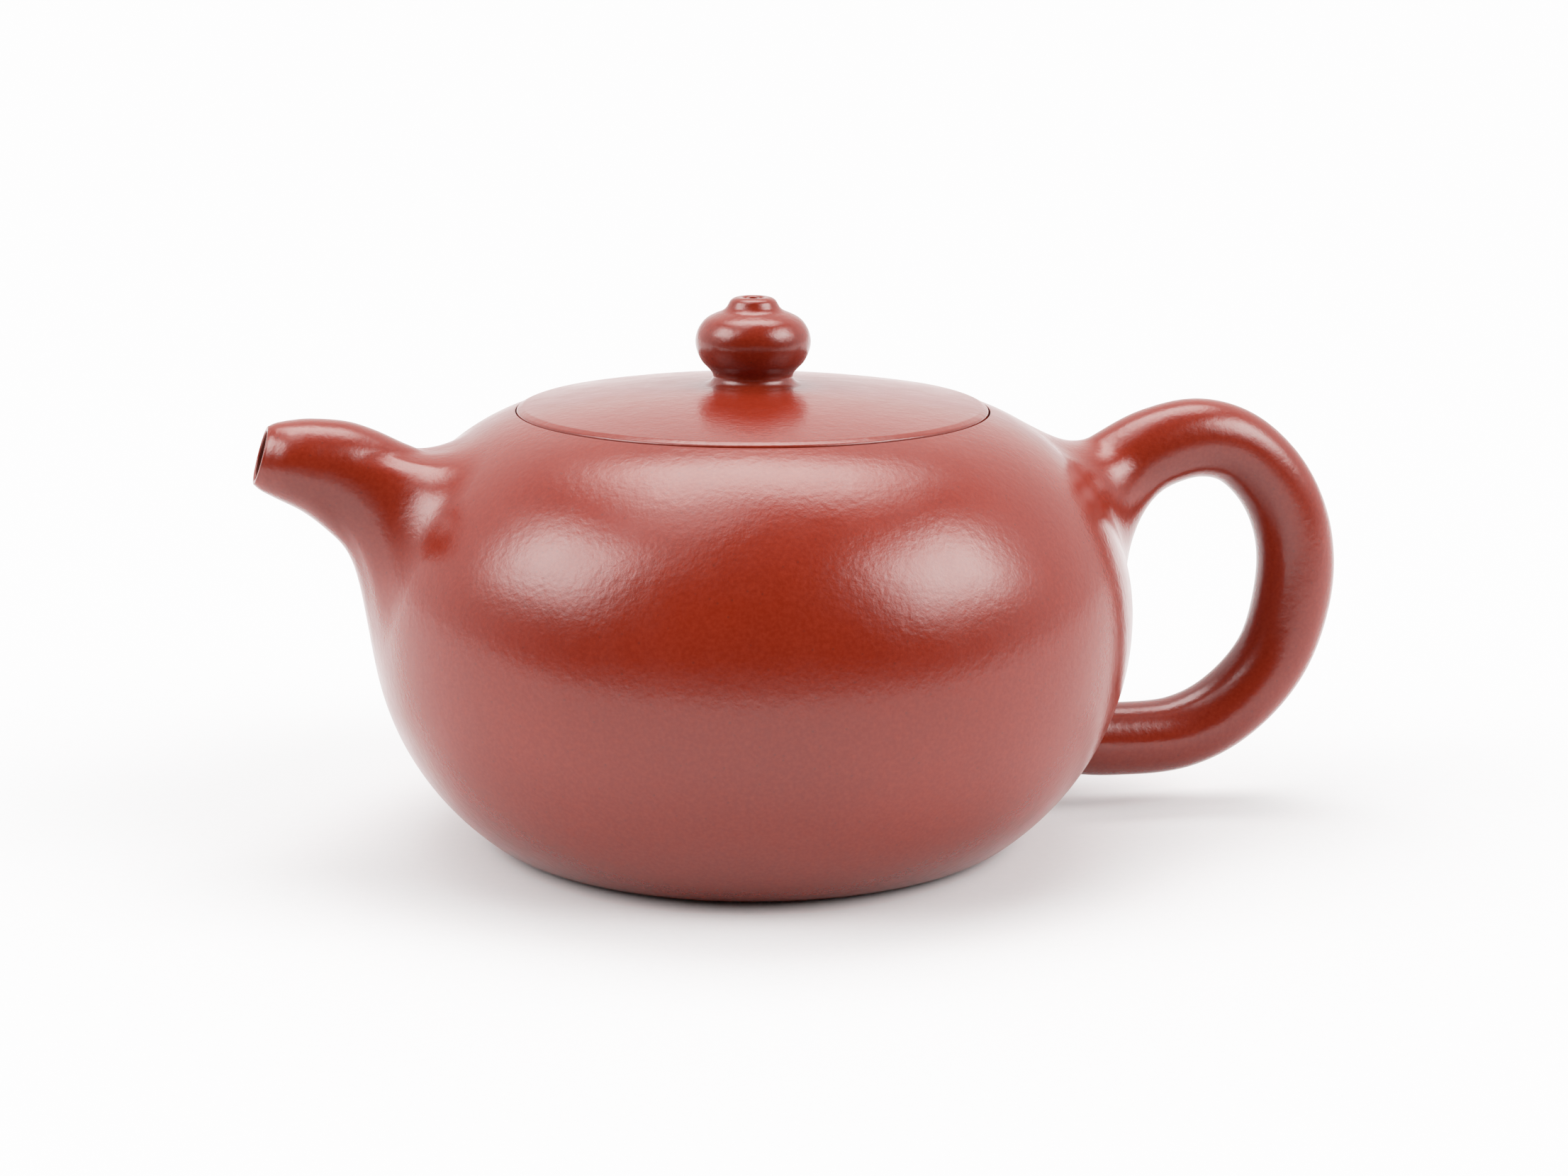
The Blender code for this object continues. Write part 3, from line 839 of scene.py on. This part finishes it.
def make_handle(outside):
    """A rolled ear handle, filleted onto the belly at both of its roots."""
    sides, rows, fillet_rows = 88, 90, 14
    dense = spline(HANDLE, 20)
    centres = [Vector((x, 0.0, z)) * MM for x, z, _ in dense]
    radii = [radius * MM for _, _, radius in dense]
    outwards = []
    for i in range(len(centres)):
        along = centres[min(i + 1, len(centres) - 1)] - centres[max(i - 1, 0)]
        outwards.append(Vector((-along.z, 0.0, along.x)).normalized())
    half = len(centres) // 2
    up_lines, low_lines = [], []
    for i in range(sides):
        a = math.tau * i / sides
        line = [c + (o * math.cos(a) + Vector((0.0, math.sin(a), 0.0))) * r
                for c, o, r in zip(centres, outwards, radii)]
        up_lines.append(fillet_down(line[half::-1], centres[half::-1],
                                    around_root(a, *HANDLE_FILLET_UP), rows, fillet_rows))
        low_lines.append(fillet_down(line[half:], centres[half:],
                                     around_root(a, *HANDLE_FILLET_LOW), rows, fillet_rows))
    rings = [list(ring) for ring in reversed(list(zip(*up_lines)))]
    rings += [list(ring) for ring in list(zip(*low_lines))[1:]]
    bm = bmesh.new()
    made = skin(bm, rings)
    for ring in (made[0], made[-1]):
        cap(bm, ring, onto_belly(middle_of(ring), -TUCK))
    finish_piece(bm, "handle_loop", [outside], "pot", "clay_body", "handle")


def make_lid(outside, inside):
    """The domed plate, with a small bevelled rim and a flat seat that runs in to the skirt."""
    seat = LEDGE_Z + SEAT_GAP
    seat_round = 0.4 * MM
    inside_r = FLANGE_R - 0.2 * MM
    flat = LID_R - LID_BEVEL[0]
    low = dome_z(flat) - LID_BEVEL[1]
    top = dome_run(VENT_R, flat - LID_EDGE_R, 0.0, 44)
    rim = rounded([(flat - LID_EDGE_R, dome_z(flat - LID_EDGE_R), 0.0),
                   (flat, dome_z(flat), LID_EDGE_R), (LID_R, low, 1.2 * LID_EDGE_R),
                   (LID_R, low - 3 * LID_EDGE_R, 0.0)], 8)[1:]
    under = rounded([(LID_R, seat + 2 * seat_round, 0.0), (LID_R, seat, seat_round),
                     (inside_r, seat, 0.0)])
    ceiling = dome_run(inside_r, VENT_R, LID_THICK, 30)
    outline = top + rim + under + ceiling
    bm = turned(outline)
    bm.faces.ensure_lookup_table()
    first_inside = len(top) + len(rim) + 1
    for index, face in enumerate(bm.faces):
        if index % len(outline) >= first_inside:
            face.material_index = 1
    finish_piece(bm, "lid_dome", [outside, inside], "lid", "clay_lid", "lid_plate")


def make_lid_skirt(inside):
    """The flange under the lid that keeps it centred.  It reaches 0.1 mm into the plate."""
    inner = FLANGE_R - FLANGE_THICK
    top = LID_THICK - 0.1 * MM
    outline = rounded([(FLANGE_R, dome_z(FLANGE_R, top), 0.0),
                       (FLANGE_R, FLANGE_BOTTOM_Z, 1.1 * MM),
                       (inner, FLANGE_BOTTOM_Z, 0.9 * MM),
                       (inner, dome_z(inner, top), 0.0)], 6)
    finish_piece(turned(outline), "lid_skirt", [inside], "lid", "clay_inside", "lid_flange")


def make_slip_bead(inside):
    """A hollow-faced roll of slip in the corner between plate and skirt, just clear of both."""
    clear = 0.02 * MM
    steps = 8
    outer = FLANGE_R - FLANGE_THICK - clear
    inner = outer - BEAD_WIDTH
    top = LID_THICK + clear
    corner = Vector((inner, dome_z(outer, top) - BEAD_WIDTH))
    outline = [(outer, dome_z(outer, top))]
    for i in range(steps):
        a = math.radians(90.0 * i / steps)
        outline.append((corner.x + BEAD_WIDTH * math.cos(a),
                        corner.y + BEAD_WIDTH * math.sin(a)))
    outline.append((inner, dome_z(inner, top)))
    finish_piece(turned(outline), "slip_bead", [inside], "lid_carrier", "clay_inside",
                 "lid_slip_bead")


def make_knob(outside):
    """A flattened ball on a short waist that flows into the lid, pierced by the vent."""
    rows = spline(KNOB_OUTLINE, 6)
    outline = [(r * MM, z * MM) for r, z in rows]
    inside_plate = LID_TOP_Z - LID_THICK / 2
    outline += [(VENT_R, inside_plate), (KNOB_OUTLINE[0][0] * MM, inside_plate)]
    finish_piece(turned(outline, KNOB_TURN), "knob", [outside], "lid", "clay_lid", "lid_knob")


# ---------------------------------------------------------------- studio

def toward(azimuth_deg, elevation_deg, distance):
    """A place seen from the pot: azimuth 0 is the camera side, positive to its right."""
    a = math.radians(azimuth_deg) + VIEW_TURN
    e = math.radians(elevation_deg)
    return Vector((math.sin(a) * math.cos(e), -math.cos(a) * math.cos(e),
                   math.sin(e))) * distance


class Sky:
    """The studio round the pot as one environment, built from soft-edged panels."""

    def __init__(self, tree):
        self.tree = tree
        self.where = tree.nodes.new("ShaderNodeTexCoord").outputs["Generated"]
        self.total = None

    def combine(self, operation, a, b):
        """A maths node on two sockets or numbers."""
        node = self.tree.nodes.new("ShaderNodeMath")
        node.operation = operation
        for socket, value in zip(node.inputs, (a, b)):
            if isinstance(value, bpy.types.NodeSocket):
                self.tree.links.new(value, socket)
            else:
                socket.default_value = value
        return node.outputs["Value"]

    def along(self, direction):
        """How far the ray looks along a direction, -1 to 1."""
        node = self.tree.nodes.new("ShaderNodeVectorMath")
        node.operation = "DOT_PRODUCT"
        node.inputs[1].default_value = direction
        self.tree.links.new(self.where, node.inputs[0])
        return node.outputs["Value"]

    def ease(self, value, start, end, low, high):
        """Eases from low to high as value goes from start to end."""
        node = self.tree.nodes.new("ShaderNodeMapRange")
        node.interpolation_type = "SMOOTHSTEP"
        self.tree.links.new(value, node.inputs["Value"])
        for name, number in (("From Min", start), ("From Max", end),
                             ("To Min", low), ("To Max", high)):
            node.inputs[name].default_value = number
        return node.outputs["Result"]

    def add(self, value):
        """Adds one light to the sum."""
        self.total = value if self.total is None else self.combine("ADD", self.total, value)

    def wash(self, start, end, level, full_deg, dim_deg, dim):
        """Light that grows from the camera side to the backdrop and dims with height."""
        across = self.ease(self.along(-toward(0.0, 0.0, 1.0)), start, end, 0.0, level)
        height = self.ease(self.along(Vector((0.0, 0.0, 1.0))), math.sin(math.radians(full_deg)),
                           math.sin(math.radians(dim_deg)), 1.0, dim)
        self.add(self.combine("MULTIPLY", across, height))

    def panel(self, azimuth_deg, elevation_deg, half_width_deg, half_height_deg, soft,
              radiance, roll_deg):
        """A soft panel: soft is the share of its half size over which its edge fades."""
        a = math.radians(azimuth_deg) + VIEW_TURN
        e = math.radians(elevation_deg)
        roll = math.radians(roll_deg)
        right = Vector((math.cos(a), math.sin(a), 0.0))
        up = Vector((-math.sin(a) * math.sin(e), math.cos(a) * math.sin(e), math.cos(e)))
        ahead = self.combine("MAXIMUM", self.along(toward(azimuth_deg, elevation_deg, 1.0)), 0.02)
        shape = radiance
        for axis, half_deg in ((right * math.cos(roll) + up * math.sin(roll), half_width_deg),
                               (up * math.cos(roll) - right * math.sin(roll), half_height_deg)):
            reach = math.tan(math.radians(half_deg))
            offset = self.combine("ABSOLUTE", self.combine("DIVIDE", self.along(axis), ahead), 0.0)
            edge = self.ease(offset, reach * (1 - soft), reach * (1 + soft), 1.0, 0.0)
            shape = self.combine("MULTIPLY", edge, shape)
        self.add(shape)


def make_studio():
    """The light on the pot, and an even white backdrop where the camera looks past it."""
    world = bpy.data.worlds.new("studio")
    bpy.context.scene.world = world
    world.use_nodes = True
    tree = world.node_tree
    sky = Sky(tree)
    sky.wash(**WASH)
    for panel in PANELS:
        sky.panel(*panel)
    lit = tree.nodes["Background"]
    lit.inputs["Color"].default_value = (1.0, 1.0, 1.0, 1.0)
    tree.links.new(sky.total, lit.inputs["Strength"])
    plain = tree.nodes.new("ShaderNodeBackground")
    plain.inputs["Color"].default_value = (1.0, 1.0, 1.0, 1.0)
    plain.inputs["Strength"].default_value = BACKDROP
    path = tree.nodes.new("ShaderNodeLightPath")
    choose = tree.nodes.new("ShaderNodeMixShader")
    tree.links.new(path.outputs["Is Camera Ray"], choose.inputs[0])
    tree.links.new(lit.outputs["Background"], choose.inputs[1])
    tree.links.new(plain.outputs["Background"], choose.inputs[2])
    tree.links.new(choose.outputs["Shader"], tree.nodes["World Output"].inputs["Surface"])


def set_tone():
    """A print-like tone: straight up to the middle, then a soft shoulder into white."""
    view = bpy.context.scene.view_settings
    view.view_transform = "Standard"
    view.use_curve_mapping = True
    tone = view.curve_mapping
    tone.white_level = (TONE_WHITE, TONE_WHITE, TONE_WHITE)
    curve = tone.curves[3]  # the one for all three channels
    for scene_level, shown in TONE_POINTS:
        curve.points.new(scene_level / TONE_WHITE, shown)
    curve.points[-1].location = (1.0, 1.0)
    for point in curve.points:
        point.handle_type = "AUTO_CLAMPED"
    curve.points[0].handle_type = "VECTOR"
    curve.points[1].handle_type = "VECTOR"
    tone.update()


def make_floor():
    """A wide disc that ends just in front of the pot, so that most of it lies behind."""
    bm = bmesh.new()
    bmesh.ops.create_circle(bm, cap_ends=True, segments=256, radius=FLOOR_R)
    mesh = bpy.data.meshes.new("floor")
    bm.to_mesh(mesh)
    bm.free()
    floor = bpy.data.objects.new("floor", mesh)
    floor.location = -toward(0.0, 0.0, FLOOR_R - FLOOR_FRONT)
    bpy.context.scene.collection.objects.link(floor)
    mesh.materials.append(paper_white())


def make_camera():
    """The camera where the photographer stood."""
    camera = bpy.data.cameras.new("camera")
    camera.lens = LENS
    camera.sensor_width = SENSOR
    camera.clip_start = 0.01
    obj = bpy.data.objects.new("camera", camera)
    bpy.context.scene.collection.objects.link(obj)
    place = toward(0.0, 0.0, VIEW_DISTANCE) + Vector((0.0, 0.0, VIEW_HEIGHT))
    obj.matrix_world = (Matrix.Translation(place)
                        @ Matrix.Rotation(VIEW_TURN + VIEW_YAW, 4, "Z")
                        @ Matrix.Rotation(math.pi / 2 - VIEW_PITCH, 4, "X")
                        @ Matrix.Rotation(VIEW_ROLL, 4, "Z"))
    bpy.context.scene.camera = obj


def main():
    set_tone()
    outside, inside = burnished_clay(), raw_clay()
    make_belly(outside, inside)
    make_mouth_ledge(inside)
    make_spout(outside, inside)
    make_strainer(inside)
    make_handle(outside)
    make_lid(outside, inside)
    make_lid_skirt(inside)
    make_slip_bead(inside)
    make_knob(outside)
    make_floor()
    make_studio()
    make_camera()


main()
